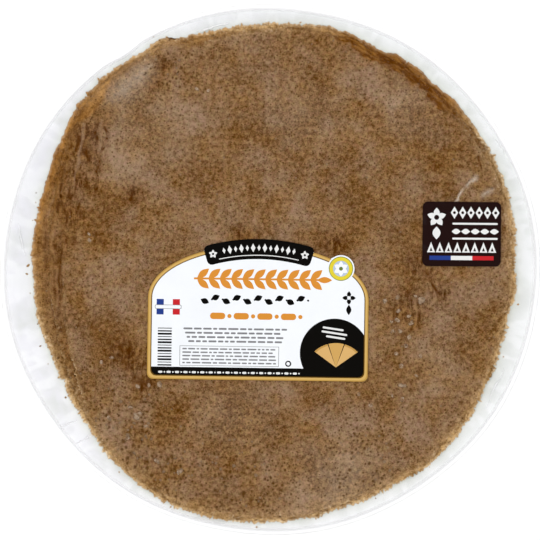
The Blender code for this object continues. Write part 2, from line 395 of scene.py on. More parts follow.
def paper_material():
    """Coated white paper: cool on the left and greyer on the right. It carries painted highlights
    on its cockles' crests, painted shade over its far half and painted contact shade beside the
    galettes.
    """
    material, shader, place = new_material("coated_paper")
    cloud = place.grain(26 * MM, 3.0, 0.6)
    soft = place.grain(9 * MM, 3.0, 0.6)
    fibres = place.grain(0.9 * MM, 3.0, 0.7)
    white = place.part(0).between(-0.12, 0.12).blend((0.755, 0.75, 0.79), (0.735, 0.75, 0.74))
    colour = (cloud + soft * 0.6).between(0.66, 1.08).blend(white, (0.655, 0.665, 0.655))
    # Painted highlights: the cockles' crests are painted lighter
    cockle = attribute(place, "cockle").between(0.0, 0.6)
    colour = (cockle * soft).blend(colour, (0.87, 0.872, 0.89))
    # Painted shade: the far half of the sheet is painted a little darker
    colour = place.part(1).between(-0.1, 0.08).blend(colour, colour.times((0.92, 0.925, 0.93)))
    # Painted contact shade: greenish grey and patchy on the sheet beside the stack
    damp = attribute(place, "damp") * (0.35 + cloud * 0.7)
    colour = damp.clamped().blend(colour, (0.61, 0.635, 0.56))
    colour = attribute(place, "verge").blend(colour, (0.9, 0.9, 0.91))
    feed(shader, "Base Color", colour)
    feed(shader, "Roughness", 0.42 + fibres * 0.16)
    feed(shader, "Normal", (fibres * 0.5 + cloud).relief(0.3 * MM, 0.3))
    return material


sheet = round_sheet("backing_paper", steps=480, band=0.14, band_rings=14)
angle, share = polar(read_points(sheet))
sheet_reach = rim_radius(angle) - SHEET_INSET
reach = share * sheet_reach
beyond = reach - bottom_radius(angle)
bare = np.clip((beyond + COCKLE_FADE) / COCKLE_FADE, 0, 1)
cockles = pleats(angle, reach, 13 * MM, 30 * MM, 1.0)
edge = sheet_reach - reach
droop = SHEET_DROOP * np.exp(-edge / DROOP_WIDTH)
height = sheet_high[2] + COCKLE * bare * (cockles - 0.2) - droop
write_points(sheet, np.column_stack([around(angle, reach), height]))
# Painted contact shade fades out from the stack; the cockles' crests get painted highlights
damp = np.exp(-np.clip(beyond, 0, None) / CONTACT_SHADE_WIDTH)
store(sheet, damp=damp, cockle=cockles * bare, verge=np.exp(-edge / VERGE_WIDTH))
thicken(sheet, sheet_high[2] - sheet_low[2])
sheet.data.materials.append(paper_material())
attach(sheet, "root")
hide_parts("backing_sheet")


# Galettes
# Three thin pancakes of buckwheat flour, water and salt, spread by hand and baked on a griddle.
# Steam leaves each side full of pin-sized pores, and the rims bake thin, frayed and darker.

EVEN_STEP = 1.4 * MM
# The wider steps between the rims: how wide, their angle and half width
MIDDLE_STEPS = ((9.5 * MM, 180, 52), (2.2 * MM, 48, 45), (1.6 * MM, 118, 30))
TOP_STEPS = ((6.5 * MM, 182, 46), (2.0 * MM, 52, 40), (1.8 * MM, 112, 34))
SINK = 0.5 * MM
SINK_FADE = 30 * MM
FRONT_MIDDLE = (-7.4 * MM, -24.3 * MM)
FRONT_HALF_WIDTH = 68.2 * MM
FRONT_BELOW = 44.0 * MM
SIDE_MIDDLE = (118.4 * MM, 22.0 * MM)
SIDE_HALF_SIZE = (24.2 * MM, 19.9 * MM)
RIM_STEPS = 2400
RIM_WANDER = 1.3 * MM
# Rings of points this many mm inside the outline
RIM_RINGS = (0.5, 1.0, 1.6, 2.3)
FRAY_ORDERS = range(14, 620, 9)
NICKS = 150
BARB = 1.6 * MM
PORE_FIELD = 160 * MM
PORE_SPACING = 2.85 * MM
CLEAR_EDGE = 2.4 * MM
PIT_SHARE = 0.6
BAKED_WIDTH = 1.6 * MM
BAKED_FADE = 2.4 * MM
AMBER_WEDGE = 12 * MM
AMBER_BAND = 10 * MM
RIM_FADE = 1.5 * MM
FLAT_ENOUGH = 0.15 * MM
LEAST_THICKNESS = 0.15 * MM
# The mesh takes this share of a wrinkle's height; painted light and shade show the rest
WRINKLE_SHARE = 0.4
GAP_BELOW = 0.05 * MM
GAP_ABOVE = 0.1 * MM
CRUMB_SMOOTH_BELOW = 65
# What a galette's points carry for its material
CRUMB_NUMBERS = (
    "pore", "pool", "rim", "amber", "lip", "inwards", "bead", "wrinkle", "pale", "stain"
)
# The places where the pores are coarse: middle x, y and reach in mm, and a strength
COARSE = (
    (-88, -112, 48, 1),
    (-130, -80, 30, 1),
    (-62, 124, 18, 1),
    (-20, -128, 40, 1),
    (60, -120, 30, 1),
)
# The places where the crumb is pale and greyish, in the same way. The strongest ones, at the
# upper left, are painted glare from the film.
PALE_AND_GLARE = (
    (-84, 84, 36, 0.45),
    (-62, 96, 22, 0.5),
    (-93, 110, 17, 1.3),
    (-79, 123, 12, 1.3),
    (84, 102, 22, 0.8),
    (104, -58, 20, 0.35),
    (116, 30, 12, 0.7),
    (44, -134, 33, 1.2),
    (-24, -90, 26, 0.6),
    (18, 94, 24, 0.6),
)
# The places where it is stained darker, in long streaks
STAINED = (
    (-112, 84, 15, 0.85),
    (-112, 70, 13, 0.85),
    (-118, 55, 13, 0.85),
    (-124, 38, 12, 0.85),
    (-130, 16, 10, 0.85),
    (-131, -10, 9, 0.85),
    (-128, -30, 9, 0.85),
    (-64, 127, 10, 0.75),
    (-72, 116, 6, 0.8),
    (-88, -56, 15, 1),
    (-78, -70, 9, 1),
    (-84, 48, 9, 1),
    (92, 2, 10, 1),
    (106, -16, 9, 1),
    (86, -26, 16, 1),
    (-16, 20, 12, 1),
    (40, 18, 10, 1),
)
# Wrinkles: start, end, half width and height in mm, where a height below 0 is a furrow
WRINKLES = (
    (-114.9, 90.1, -120.7, 53.8, 1.2, 0.5),
    (-104.3, 92.8, -105.6, 73.6, 1.1, 0.5),
    (-119.8, 53.1, -124.8, 34.5, 1, 0.4),
    (-128.5, 25.9, -129.8, 11.6, 0.8, 0.3),
    (-134.4, 43.2, -138.4, 32.7, 0.8, 0.3),
    (-102.1, 88.5, -100.3, 84.1, 1.1, -0.7),
    (-100.3, 84.1, -103.4, 75.1, 1.1, -0.8),
    (-103.4, 75.1, -106.9, 62.7, 0.9, -0.7),
    (-107.4, 61, -107.4, 50.3, 1.1, -0.9),
    (-107.4, 50.3, -109.9, 43.2, 0.9, -0.7),
    (-118.9, 82, -119.8, 74, 1.2, -0.8),
    (-112, 84, -113.6, 73, 1.3, -0.5),
    (-114.6, 73, -112, 67.5, 1.7, -0.7),
    (-107.6, 85, -107.4, 79, 1.4, -0.8),
    (-117.1, 64.5, -122.4, 45.1, 0.9, -0.8),
    (-122.4, 45.1, -125.5, 34.5, 0.8, -0.7),
    (-125.5, 34.5, -127.3, 24, 0.8, -0.7),
    (-129.5, 54, -129.5, 45.1, 0.9, -0.7),
    (-129.5, 45.1, -126.9, 36.4, 0.8, -0.7),
    (-102.1, 46.9, -103.8, 32.7, 0.7, -0.6),
    (-118, 43.2, -118.9, 32.7, 0.7, -0.7),
    (-123.3, 55, -124.2, 44, 0.9, -0.6),
    (-129.1, 24, -129.5, 4, 0.7, -0.7),
    (-130.6, 2, -129.8, -38, 1.1, -0.6),
    (-85.2, 48.5, -85.2, 41.4, 1, -0.6),
    (-134, 10, -133, -22, 1.2, -0.4),
    (-139.5, 28, -139, 2, 1.6, -0.5),
    (-108.7, -22, -110.5, -34, 0.9, -0.6),
    (-96, -40, -88, -62, 2.4, -0.45),
    (-84, -66, -76, -72, 3, -0.6),
    (96.5, -1, 105.2, -19, 1.1, -0.7),
    (93, 6, 96.5, -1, 0.9, -0.5),
    (129.2, 71, 130.2, 62.5, 0.8, -0.9),
    (133, -6, 138, -24, 1.2, -0.5),
    (-68.5, 142.4, -62.5, 143.4, 0.9, -0.9),
    (-62.5, 143.4, -52, 141.8, 0.9, -0.9),
    (-40, 131, -52, 124, 0.8, -0.3),
    (-64, 126, -70, 116, 2.4, -0.3),
    (-72, 120, -78, 114, 1.4, -0.4),
)


def stepped_in(angle, outer, steps):
    """An outline inside an outer one, by an even step and by wider ones on some sides."""
    step = EVEN_STEP
    for reach, middle, half_width in steps:
        step = step + reach * bump(angle, middle, half_width)
    return outer(angle) - step


def middle_radius(angle):
    """The middle galette's outline, well inside the bottom one's on the left."""
    return stepped_in(angle, bottom_radius, MIDDLE_STEPS)


def top_radius(angle):
    """The top galette's outline, well inside the middle one's on the left."""
    return stepped_in(angle, middle_radius, TOP_STEPS)


def sink(x, y):
    """How far the top of the stack lies below its full height: long soft dips off the labels."""
    share = np.ones_like(x)
    for middle, half_width, half_height in (
        (FRONT_MIDDLE, FRONT_HALF_WIDTH, FRONT_BELOW),
        (SIDE_MIDDLE, *SIDE_HALF_SIZE),
    ):
        over_x = np.clip(np.abs(x - middle[0]) - half_width, 0, None)
        over_y = np.clip(np.abs(y - middle[1]) - half_height, 0, None)
        share = np.minimum(share, np.hypot(over_x, over_y) / SINK_FADE)
    share = share * share * (3 - 2 * share)
    long_dips = np.sin(x / (14 * MM) + 2 * np.sin(y / (31 * MM)))
    cross_dips = np.sin(y / (17 * MM) + 1.5 * np.sin(x / (27 * MM) + 1))
    return SINK * share * (0.5 + 0.25 * long_dips + 0.25 * cross_dips)


def frayed(radius, barbs, rng):
    """A galette's outline, step by step: its wander, its fraying and its torn tips."""
    angle = np.linspace(0, math.tau, RIM_STEPS, endpoint=False)
    reach = radius(angle)
    reach = reach + RIM_WANDER * swell(around(angle, reach), 12 * MM, 3, rng.uniform(0, 50))
    calm = 1 - 0.6 * np.maximum(bump(angle, 160, 75), bump(angle, 48, 60))
    for order in FRAY_ORDERS:
        size = 0.1 * MM * (300 / (order + 200)) ** 0.5
        reach = reach + calm * size * np.sin(order * angle + rng.uniform(0, math.tau))
    for _ in range(NICKS):
        middle, length, width = rng.uniform(0, 360), rng.uniform(-1.1, 1.0), rng.uniform(0.25, 0.7)
        reach = reach + calm * length * MM * bump(angle, middle, width)
    for middle in barbs:
        reach = reach + BARB * bump(angle, middle, 0.42)
        reach = reach - BARB / 2 * bump(angle, middle + 1.0, 0.6)
    return angle, reach


def pore_places(radius, shown, rng):
    """Where a galette's pores lie: uneven rows, bent and thinned, as far in as it shows."""
    rows = np.arange(-PORE_FIELD, PORE_FIELD, PORE_SPACING * 0.866)
    columns = np.arange(-PORE_FIELD, PORE_FIELD, PORE_SPACING)
    places = np.array(
        [(x + (row % 2) * PORE_SPACING / 2, y) for row, y in enumerate(rows) for x in columns]
    )
    places += rng.uniform(-0.34, 0.34, places.shape) * PORE_SPACING
    places += 1.5 * MM * np.sin(places[:, ::-1] / (13 * MM) + np.array([0.0, 1.7]))
    angle, reach = polar(places)
    edge = radius(angle) - reach
    kept = (edge > CLEAR_EDGE) & (edge < shown) & (np.abs(wrinkle_heights(places)) < FLAT_ENOUGH)
    return places[kept & (rng.random(len(places)) > 0.04 + 0.5 * near_spots(places, COARSE))]


def near_spots(places, spots):
    """How near each place is to the middle of one of several round spots, times its strength."""
    most = np.zeros(len(places))
    for x, y, reach, strength in spots:
        away = np.hypot(places[:, 0] - x * MM, places[:, 1] - y * MM) / (reach * MM)
        most = np.maximum(most, strength * np.clip(1.15 - away, 0, 1))
    return most


def wrinkle_lines():
    """Each wrinkle's start, its ways along and across, its length, and its row of numbers."""
    for row in WRINKLES:
        start, way = np.array(row[:2]) * MM, np.array([row[2] - row[0], row[3] - row[1]]) * MM
        length = np.hypot(*way)
        way = way / length
        yield start, way, np.array([-way[1], way[0]]), length, row


def wander(along, start):
    """How far a wrinkle strays sideways, some way along it."""
    return 0.45 * MM * np.sin(along / (2.6 * MM) + start)


def wrinkle_heights(places):
    """The height of the wrinkles at each place: above 0 on a ridge and below 0 in a furrow."""
    height = np.zeros(len(places))
    for start, way, side, length, (x0, _, _, _, width, rise) in wrinkle_lines():
        along = (places - start) @ way
        across = (places - start) @ side - wander(along, x0)
        beyond = np.maximum(np.abs(along - length / 2) - length / 2, 0)
        height += rise * MM * np.exp(-((across / (width * MM)) ** 2) - (beyond / (0.8 * MM)) ** 2)
    return height


def wrinkle_points(radius):
    """Rows of points that follow each wrinkle, so that the mesh can hold its sharp relief."""
    rows = []
    for start, way, side, length, (x0, _, _, _, width, _) in wrinkle_lines():
        along = np.arange(-1 * MM, length + 1 * MM, 0.75 * MM)
        for offset in (-1.5, -0.75, 0.0, 0.75, 1.5):
            across = wander(along, x0) + offset * width * MM
            rows.append(start + along[:, None] * way + across[:, None] * side)
    points = np.concatenate(rows)
    angle, reach = polar(points)
    return points[radius(angle) - reach > CLEAR_EDGE]


def insets(angle, reach, distances):
    """Rings of points inside an outline, to carry its thin baked rim."""
    rings = []
    for number, distance in enumerate(distances):
        part = slice(number % 2, None, 2)
        rings.append(around(angle[part], reach[part] - distance * MM))
    return np.concatenate(rings)


def baked_rim(angle, places, edge, depth):
    """How far each place is baked, and how amber that is, from 0 to 1.

    The edge is how far the place lies inside its own galette's outline, and the depth inside
    the bottom one's. A band at the upper right and a wedge at the upper left are baked deeper.
    """
    amber = np.maximum(bump(angle, 154, 58), np.minimum(1.5 * bump(angle, 57, 34), 1))
    amber = np.maximum(amber, 0.6 * bump(angle, 108, 15))
    rim = np.exp(-np.clip(depth - BAKED_WIDTH, 0, None) / BAKED_FADE)
    rim = np.maximum(rim, 0.5 * np.exp(-edge / (1.2 * MM)))
    wedge = np.clip((AMBER_WEDGE * bump(angle, 136.5, 13) - depth) / RIM_FADE, 0, 1)
    band = AMBER_BAND * np.minimum(1.6 * bump(angle, 57, 31), 1)
    band = np.clip((band * (1 + 0.3 * swell(places, 6 * MM, 2, 2.0)) - depth) / RIM_FADE, 0, 1)
    return np.maximum(rim, np.maximum(0.85 * wedge, band)), amber


def galette(name, radius, seed, shown, low, high, sunk, droop, barbs):
    """One galette, closed all round, with a real pit at every pore and its rim drawn down.

    Pores fill only the part that shows, as far in from the rim as shown. Its points carry the
    numbers that its colours follow. The lip is below 0 on the bottom one, whose edge is pale, and
    above 0 on the others, whose edge is darkened partly as painted shade. Inwards is how far a
    point lies inside the bottom one's outline, in mm.
    """
    rng = np.random.default_rng(seed)
    lowest = radius is bottom_radius
    angle, reach = frayed(radius, barbs, rng)
    places = pore_places(radius, shown, rng)
    count = len(places)
    coarse = near_spots(places, COARSE)
    size = rng.uniform(0.65, 1.05, count) * MM * (1 + 1.8 * coarse * rng.random(count))
    deep = np.clip(rng.uniform(0.15, 1.15, count) + 0.5 * coarse, 0, 1)
    pooled = (rng.random(count) < 0.03 + 0.35 * coarse**2) & (size > 0.85 * MM)
    turn = rng.uniform(0, math.tau, count)
    sides = []
    for corner in range(6):
        width = size * rng.uniform(0.75, 1.2, count)
        sides.append(places + around(turn + math.tau * corner / 6, width))
    rim_rings = insets(angle, reach, RIM_RINGS)
    flat = [around(angle, reach), rim_rings, places] + sides + [wrinkle_points(radius)]
    corners = [Vector(point) for point in np.concatenate(flat) / MM]
    cut = delaunay_2d_cdt(corners, [], [list(range(RIM_STEPS))], 1, 1e-5, True)
    flat = np.array([(x, y) for x, y in cut[0]]) * MM
    faces = [face for face, owners in zip(cut[2], cut[5]) if owners]
    pore, pool, pit = np.zeros((3, len(flat)))
    first = RIM_STEPS + len(rim_rings)
    pores = slice(first, first + count)
    pore[pores], pool[pores], pit[pores] = deep, pooled, deep * size * PIT_SHARE
    spot_angle, spot_reach = polar(flat)
    edge = np.clip(np.interp(spot_angle, angle, reach, period=math.tau) - spot_reach, 0, None)
    inwards = bottom_radius(spot_angle) - spot_reach
    rim, amber = baked_rim(spot_angle, flat, edge, edge if lowest else inwards)
    turned_down = np.exp(-edge / RIM_FADE)
    beads = swell(flat, 1.4 * MM, 1, seed + 4) * turned_down * (1 - 0.6 * amber)
    clumps = np.clip(0.45 + 1.6 * swell(flat, 9 * MM, 2, seed + 6), 0.15, 1.2)
    wrinkle = wrinkle_heights(flat)
    z = high - (sink(*flat.T) if sunk else 0.0) + 0.1 * MM * swell(flat, 16 * MM, 2, seed)
    z += 0.08 * MM * swell(flat, 4.5 * MM, 2, seed + 9) - pit + 0.35 * MM * beads
    z += WRINKLE_SHARE * wrinkle - droop * turned_down
    z = np.clip(z, low + LEAST_THICKNESS, top_high[2])
    piece = new_piece(name, np.column_stack([flat, z]).tolist(), faces)
    store(
        piece,
        pore=pore,
        pool=pool,
        rim=rim,
        amber=amber,
        lip=np.exp(-((edge / MM) ** 2)) * (-1 if lowest else 1),
        inwards=inwards / MM,
        bead=np.clip(beads * clumps * (4.5 if lowest else 1.0), 0, 1),
        wrinkle=wrinkle / MM,
        pale=near_spots(flat, PALE_AND_GLARE),
        stain=near_spots(flat, STAINED),
    )
    close_underside(piece, low)
    return piece


def new_piece(name, points, faces):
    """A piece with these points and faces."""
    mesh = bpy.data.meshes.new(name)
    mesh.from_pydata(points, [], faces)
    piece = bpy.data.objects.new(name, mesh)
    bpy.context.collection.objects.link(piece)
    return piece


def close_underside(piece, low):
    """Draws the open rim of an upper side straight down to a height and closes it there."""
    pick(piece)
    bpy.ops.object.mode_set(mode="EDIT")
    bpy.context.tool_settings.mesh_select_mode = (False, True, False)
    bpy.ops.mesh.select_all(action="DESELECT")
    bpy.ops.mesh.select_non_manifold()
    bpy.ops.mesh.extrude_edges_move()
    bpy.ops.transform.resize(value=(0.998, 0.998, 0.0), center_override=(0, 0, low))
    bpy.ops.mesh.edge_face_add()
    bpy.ops.mesh.select_all(action="SELECT")
    bpy.ops.mesh.normals_make_consistent(inside=False)
    bpy.ops.object.mode_set(mode="OBJECT")
    bpy.ops.object.shade_smooth_by_angle(angle=math.radians(CRUMB_SMOOTH_BELOW))


def crumb_material(name, light, dark, rim_share):
    """Baked buckwheat batter: mottled brown, dark in its pores, orange-brown towards its rim.

    The pores are darkened partly as painted shade in their pits, and the wrinkles carry painted
    light and shade. The rim is amber where it is baked deeper, brightest on the left, and on the
    right painted darker beneath the upper galettes' lips. Elsewhere it is golden, with painted
    light that makes it palest on the near side, at the lower right and at the very back. The upper
    galettes' edges are darkened, partly as painted shade along their step. The wet pools in some
    pores carry a painted glint, and the palest places at the upper left carry painted glare.
    """
    material, shader, place = new_material(name)
    pore, pool, rim, amber, lip, inwards, bead, wrinkle, pale, stain = [
        attribute(place, key) for key in CRUMB_NUMBERS
    ]
    broad = place.grain(38 * MM, 2.0, 0.55)
    patches = place.grain(11 * MM, 2.0, 0.55)
    clots = place.grain(2.6 * MM, 1.0, 0.5)
    fine = place.grain(0.8 * MM, 2.0, 0.65)
    aside = place.make("ShaderNodeMapping", {"Vector": place, "Location": (3, 5, 0)})
    warmth = aside.grain(16 * MM, 3.0, 0.5)
    broken = aside.grain(4.5 * MM, 2.0, 0.6).between(0.43, 0.57)
    moss = aside.grain(2.2 * MM, 3.0, 0.7)
    drawn_out = place.make("ShaderNodeMapping", {"Vector": place, "Scale": (1.0, 0.3, 1.0)})
    streaks = drawn_out.grain(2.0 * MM, 2.0, 0.6)
    north = place.part(1)
    west = place.part(0).between(0.06, -0.06)
    east = 1.0 - west

    # The crumb's mottle, its stains, its hue and its pale places, the palest of them painted glare
    mottle = (broad - 0.5) * 1.5 + (patches - 0.5) * 1.05
    warm = amber * inwards.between(60.0, 0.0) * west
    tone = 0.53 + mottle * 1.2 - warm * 0.12 + (clots - 0.5) * 2.0 + (fine - 0.5) * 2.3
    tone = (tone - stain * (0.26 + (streaks - 0.5) * 4.4)).between(-0.6, 1.7)
    stained = tone.blend((0.055, 0.0155, 0.001), (0.26, 0.135, 0.05))
    colour = (stain * 0.9).clamped().blend(tone.blend(dark, light), stained)
    greyness = 0.5 + mottle * 1.5 + (warmth - 0.5) * 1.6 - warm * 0.3
    hue = greyness.between(-0.3, 1.3).blend((1.07, 0.965, 0.65), (0.94, 0.98, 1.15))
    green = (0.5 + (moss - 0.5) * 3.0).clamped().blend((0.96, 1.04, 0.93), (1.04, 0.96, 1.07))
    # Pale greyish places are added; the strongest, at the upper left, are painted glare
    veil_and_glare = (pale * (0.15 + patches * 0.4 + fine * 0.5)).clamped()
    colour = place.mix(colour.times(hue).times(green), (0.095, 0.09, 0.074), veil_and_glare, "ADD")

    # The baked rim, in uneven layers that follow the outline, with painted light and shade on it
    round_the_rim = place.make("ShaderNodeVectorMath", {0: place}, operation="NORMALIZE")
    round_the_rim = place.make("ShaderNodeMapping", {"Vector": round_the_rim, "Scale": (48, 48, 0)})
    outwards = place.make("ShaderNodeCombineXYZ", {"Z": inwards})
    layered = place.make("ShaderNodeVectorMath", {0: round_the_rim, 1: outwards})
    layers = (layered.grain(2.4, 3.0, 0.6) - 0.5) * (3.4 - west * 1.4)
    speckle = ((fine - 0.5) * 1.8 + (clots - 0.5)) * (1.0 - amber * 0.55)
    # Painted shade on the right: darker beneath the upper galettes' lips, lighter at the edge
    under_lip_shade = (inwards.between(0.0, 6.0) * 0.56 - 0.2) * east
    flecks = (0.54 + speckle + layers - under_lip_shade * amber).clamped()
    golden = flecks.blend((0.17, 0.086, 0.022), (0.52, 0.345, 0.165))
    # Painted light: the golden rim is lighter near the viewer, at the lower right and at the back
    lit = north.between(-0.03, -0.12) + north.between(0.08, 0.0) * east
    lit = (lit + north.between(0.1, 0.145) * 0.95).clamped()
    golden = lit.blend(golden.times((0.92, 0.9, 0.86)), golden.times((1.24, 1.2, 1.14)))
    burnt = west.blend((0.095, 0.026, 0.0), (0.115, 0.034, 0.001))
    burnt = flecks.blend(burnt, west.blend((0.285, 0.127, 0.026), (0.43, 0.2, 0.045)))
    baked = (rim * (0.6 + clots * 0.8) * rim_share).clamped()
    colour = baked.blend(colour, amber.blend(golden, burnt))
    # The upper galettes' edges darken: their own browning, and painted shade along their step
    dark_lip_and_shade = lip.clamped() * (0.1 + amber * 0.3) * (clots * 2.0 - 0.2)
    colour = dark_lip_and_shade.clamped().blend(colour, (0.06, 0.018, 0.001))
    pale_lip = (0.0 - lip).clamped() * (0.85 - amber * 0.4) * (0.3 + fine)
    colour = pale_lip.clamped().blend(colour, (0.56, 0.41, 0.26))
    colour = (bead * (0.95 - amber * 0.6)).blend(colour, (0.8, 0.64, 0.43))

    # Wrinkles in painted light and shade, pores darkened partly as painted shade, and the pools
    # in some of them with a painted glint
    # Painted highlight along a wrinkle's ridge
    ridge = wrinkle.between(0.05, 0.5) * (fine * 0.6 + broken * 0.25)
    colour = ridge.blend(colour, (0.3, 0.19, 0.112))
    # Painted shade in a wrinkle's furrow
    furrow = (0.0 - wrinkle).between(0.05, 0.8) * (clots * 1.4 + fine - 0.25)
    furrow = (furrow * (0.25 + broken * 0.85)).clamped()
    colour = furrow.blend(colour, (0.07, 0.02, 0.001))
    # Pores darken: partly their own colour, partly painted shade in their pits
    colour = (pore.between(0.03, 0.7) * 0.8).blend(colour, (0.07, 0.027, 0.003))
    # Painted glint: the wet pools in some pores are painted pale grey
    colour = (pool.between(0.2, 0.6) * 0.5).blend(colour, (0.265, 0.195, 0.13))
    feed(shader, "Base Color", colour)
    feed(shader, "Roughness", 0.62 - pool * 0.15 + fine * 0.25)
    feed(shader, "Specular IOR Level", 0.0)
    feed(shader, "Normal", (clots * 0.5 + fine * 0.5).relief(0.5 * MM, 0.6))
    return material


bottom_low, bottom_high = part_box("galette_bottom")
middle_low, middle_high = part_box("galette_middle")
top_low, top_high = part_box("galette_top")
upper_crumb = crumb_material("galette_crumb", (0.318, 0.193, 0.099), (0.074, 0.026, 0.003), 0.95)
lower_crumb = crumb_material(
    "galette_rim_crumb", (0.292, 0.163, 0.07), (0.072, 0.0245, 0.0026), 1.0
)

# From the bottom up: piece, node, outline, seed, how far in it shows, how far its rim droops
stack = (
    ("galette_under", "galette_bottom", bottom_radius, 5, 22 * MM, 0.75 * MM),
    ("galette_between", "galette_middle", middle_radius, 6, 18 * MM, 0.95 * MM),
    ("galette_over", "galette_top", top_radius, 7, 1.0, 0.95 * MM),
)
# The angles at which their rims have torn tips
torn = ((27, 132, 136, 165, 168, 207), (140, 205), (150,))
levels = (sheet_high[2], bottom_high[2], middle_high[2], top_high[2])
for number, (name, node, radius, seed, shown, droop) in enumerate(stack):
    on_top = node == "galette_top"
    low = levels[number] + GAP_BELOW
    high = levels[number + 1] - GAP_ABOVE
    piece = galette(name, radius, seed, shown, low, high, on_top, droop, torn[number])
    piece.data.materials.append(upper_crumb if on_top else lower_crumb)
    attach(piece, "root")
    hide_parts(node)


# Crumbs
# Bits of rim that broke off while the stack was packed. They lie on the sheet's bare ring, mostly
# to the left of the stack, and the top film holds them where they are.

# The larger ones: their angle, how far beyond the stack in mm, and their size in mm
CRUMB_PLACES = ((181, 3.5, 0.5), (179, 2.6, 0.7), (212, 2.4, 0.6), (267, 3.2, 0.5), (352, 3.0, 0.5))
CRUMB_COUNT = 16
CRUMB_KNOB = 0.35
CRUMB_RIM = 0.6


def pellet(location, radius, turn, scale, knob, knob_size, seed, axes):
    """A small flattened ball. Its knobs move its points along its first 2 or all 3 axes."""
    bpy.ops.mesh.primitive_ico_sphere_add(
        subdivisions=2, radius=radius, location=location, rotation=(0, 0, turn), scale=scale
    )
    piece = bpy.context.object
    bpy.ops.object.transform_apply(location=True, rotation=True, scale=True)
    points = read_points(piece)
    middle = points.mean(axis=0)[:axes]
    knobs = 1 + knob * swell(points[:, :2], knob_size, 1, seed)
    points[:, :axes] = middle + (points[:, :axes] - middle) * knobs[:, None]
    write_points(piece, points)
    return piece


def joined(pieces, name):
    """Several small pieces as one."""
    pick(*pieces)
    bpy.ops.object.join()
    bpy.ops.object.shade_smooth()
    pieces[0].name = name
    return pieces[0]


rng = np.random.default_rng(12)
places = list(CRUMB_PLACES)
for _ in range(CRUMB_COUNT):
    spot = rng.choice((rng.uniform(0, 360), rng.normal(180, 30)))
    places.append((spot, rng.uniform(0.6, 4.0), rng.uniform(0.18, 0.42)))
crumbs = []
for spot, beyond, size in places:
    turn = math.radians(spot)
    reach = float(bottom_radius(np.array([turn]))[0]) + beyond * MM
    height = sheet_high[2] + size * 0.35 * MM
    place = (reach * math.cos(turn), reach * math.sin(turn), height)
    spin, scale = rng.uniform(0, math.pi), (rng.uniform(1.0, 1.9), 1.0, 0.5)
    crumbs.append(pellet(place, size * MM, spin, scale, CRUMB_KNOB, 0.35 * MM, size * 10, axes=3))
crumb_pile = joined(crumbs, "loose_crumbs")
zeros = np.zeros(len(crumb_pile.data.vertices))
store(crumb_pile, **{key: zeros + CRUMB_RIM * (key == "rim") for key in CRUMB_NUMBERS})
crumb_pile.data.materials.append(lower_crumb)
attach(crumb_pile, "root")


# Top film
# The upper web of clear film, drawn down over the stack and on to the sheet by vacuum, and welded
# to the bottom film along the rim. It stands in small folds where it turns down to the ring.

WELD_WIDTH = 0.15 * MM
WELD_START = 3 * MM
MILK_START = 3.4 * MM
MILK_END = 1.9 * MM
FOLD = 0.42 * MM
FINE_FOLD = 0.15 * MM
SLOPE_FOLD = 0.3 * MM
FILM_RIPPLE = 0.05 * MM
FILM_GAP = 0.3 * MM
TOP_FILM_GAP = 0.5 * MM
# Painted highlights along folds in the film: two ends and a width in mm, and a strength
FOLD_HIGHLIGHTS = (
    (113.5, 40.5, 120.5, 51, 1.4, 0.9),
    (119.5, 49.5, 129, 59.5, 2.4, 0.55),
    (128.5, 45.5, 140.5, 50.5, 3.4, 0.35),
    (-103, 101, -74, 126, 11, 0.2),
    (-82, 120.5, -71, 127.5, 3, 0.22),
    (-132, -98.4, -118, -93, 0.8, 1.6),
    (-122.5, -108.6, -109, -102, 0.8, 1.6),
    (-46, 147, -24, 154, 0.6, 2),
    (139, 82, 146, 71, 0.6, 2),
    (146, -60, 133, -88, 0.7, 1.8),
    (-157, 30, -152, 8, 0.6, 2),
)
film_low, film_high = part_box("top_film")


def ramp(reach, inner, outer):
    """1 inside the inner reach, falling smoothly to 0 at the outer one."""
    share = np.clip((reach - inner) / (outer - inner), 0, 1)
    return 1 - share * share * (3 - 2 * share)


def film_height(angle, reach):
    """The height of the film's upper side over the pack, without its ripples."""
    rim, bottom, middle, top = (
        radius(angle) for radius in (rim_radius, bottom_radius, middle_radius, top_radius)
    )
    steps = (
        (sheet_high[2] + FILM_GAP, rim - WELD_START, rim - WELD_WIDTH),
        (bottom_high[2] + FILM_GAP, bottom + 1.1 * MM, bottom + 3.8 * MM),
        (middle_high[2] + FILM_GAP, middle + 1.0 * MM, middle + 2.6 * MM),
        (top_high[2] + TOP_FILM_GAP, top + 1.0 * MM, top + 2.6 * MM),
    )
    under = film_low[2] + FILM_THICKNESS
    height = np.full_like(reach, under)
    for above, inner, outer in steps:
        height = height + (above - under) * ramp(reach, inner, outer)
        under = above
    return height


def ripples(places):
    """The height of the small ripples that the film over the stack shares with its labels."""
    return FILM_RIPPLE * swell(places, 7 * MM, 2, 5.0)


top_film = round_sheet("top_film_web", steps=720, band=0.17, band_rings=20)
angle, share = polar(read_points(top_film))
rim, bottom, top = rim_radius(angle), bottom_radius(angle), top_radius(angle)
reach = share * rim
places = around(angle, reach)
over_stack = ramp(reach, top, top + 3 * MM)
on_ring = 1 - ramp(reach, bottom, bottom + 4 * MM)
on_ring = on_ring * ramp(reach, rim - WELD_START, rim - 1 * MM)
on_slope = ramp(reach, bottom, bottom + 5 * MM) * (1 - over_stack)
folds = pleats(angle, reach, 8 * MM, 45 * MM, 4.0) * FOLD
folds = folds + pleats(angle, reach, 3 * MM, 12 * MM, 8.0) * FINE_FOLD
height = film_height(angle, reach) - sink(*places.T) * over_stack + folds * on_ring
height += on_slope * (pleats(angle, reach, 4 * MM, 20 * MM, 12.0) - 0.3) * SLOPE_FOLD
height += over_stack * ripples(places)
write_points(top_film, np.column_stack([places, np.minimum(height, film_high[2])]))
